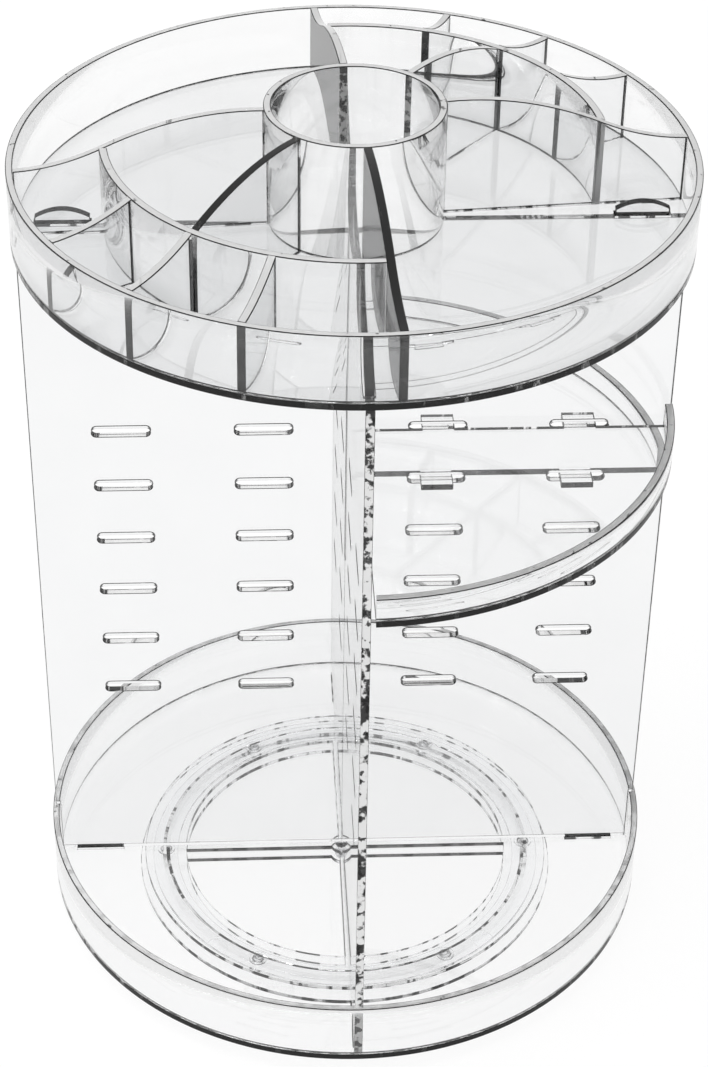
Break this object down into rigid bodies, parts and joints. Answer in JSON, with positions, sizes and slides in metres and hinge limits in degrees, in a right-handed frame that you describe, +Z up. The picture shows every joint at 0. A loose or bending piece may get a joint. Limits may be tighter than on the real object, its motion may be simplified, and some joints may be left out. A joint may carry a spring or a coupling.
{
  "type": "rotating makeup organizer",
  "caption": "Round clear acrylic makeup organizer that turns on a ball-bearing base, with slotted crossed panels, lift-off quarter shelves and a divided top tray with a brush cup.",
  "frame": {"origin": "on the table under the centre of the turntable, at the bottom of the soft pads", "axes": "+Z up along the turning axis, +X to the right along the wide panel, -Y to the front"},
  "size_m": [0.23, 0.23, 0.3361],
  "materials": {
    "clear_acrylic": "polished clear",
    "clear_moulding": "clear moulded",
    "steel": "bright",
    "soft_pad": "clear soft"
  },
  "bodies": {
    "foot": {"foot_ring": "clear_moulding", "foot_pads": "soft_pad", "pivot_pin": "steel", "pivot_clip": "steel"},
    "cage": {"ball_cage": "clear_moulding", "bearing_balls": "steel"},
    "carousel": {"bearing_top_ring": "clear_moulding", "base_tray_floor": "clear_acrylic", "base_tray_rim": "clear_acrylic", "wide_panel": "clear_acrylic", "cross_panel": "clear_acrylic"},
    "top_tray": {"arc_divider_front": "clear_acrylic", "arc_divider_rear": "clear_acrylic", "brush_cup": "clear_acrylic", "divider_front_1": "clear_acrylic", "divider_front_2": "clear_acrylic", "divider_front_3": "clear_acrylic", "divider_front_4": "clear_acrylic", "divider_front_5": "clear_acrylic", "divider_rear_1": "clear_acrylic", "divider_rear_2": "clear_acrylic", "divider_rear_3": "clear_acrylic", "divider_rear_4": "clear_acrylic", "divider_rear_5": "clear_acrylic", "inner_divider_front": "clear_acrylic", "inner_divider_rear": "clear_acrylic", "top_tray_floor": "clear_acrylic", "top_tray_rim": "clear_acrylic"},
    "front_shelf": {"front_shelf_plate": "clear_acrylic", "front_shelf_lip": "clear_acrylic"},
    "rear_shelf": {"rear_shelf_plate": "clear_acrylic", "rear_shelf_lip": "clear_acrylic"}
  },
  "joints": [
    {"name": "turntable_spin", "type": "hinge", "parent": "foot", "child": "carousel", "pos_m": [0, 0, 0.0045], "axis": [0, 0, 1], "continuous": true},
    {"name": "cage_spin", "type": "hinge", "parent": "foot", "child": "cage", "pos_m": [0, 0, 0.0045], "axis": [0, 0, 1], "continuous": true},
    {"name": "top_tray_lift", "type": "slide", "parent": "carousel", "child": "top_tray", "axis": [0, 0, 1], "range_m": [0, 0.012]},
    {"name": "front_shelf_pull", "type": "slide", "parent": "carousel", "child": "front_shelf", "axis": [0, -1, 0], "range_m": [0, 0.02]},
    {"name": "rear_shelf_pull", "type": "slide", "parent": "carousel", "child": "rear_shelf", "axis": [0, 1, 0], "range_m": [0, 0.02]}
  ],
  "couplings": [
    {"joint": "cage_spin", "follows": "turntable_spin", "ratio": 0.5}
  ]
}
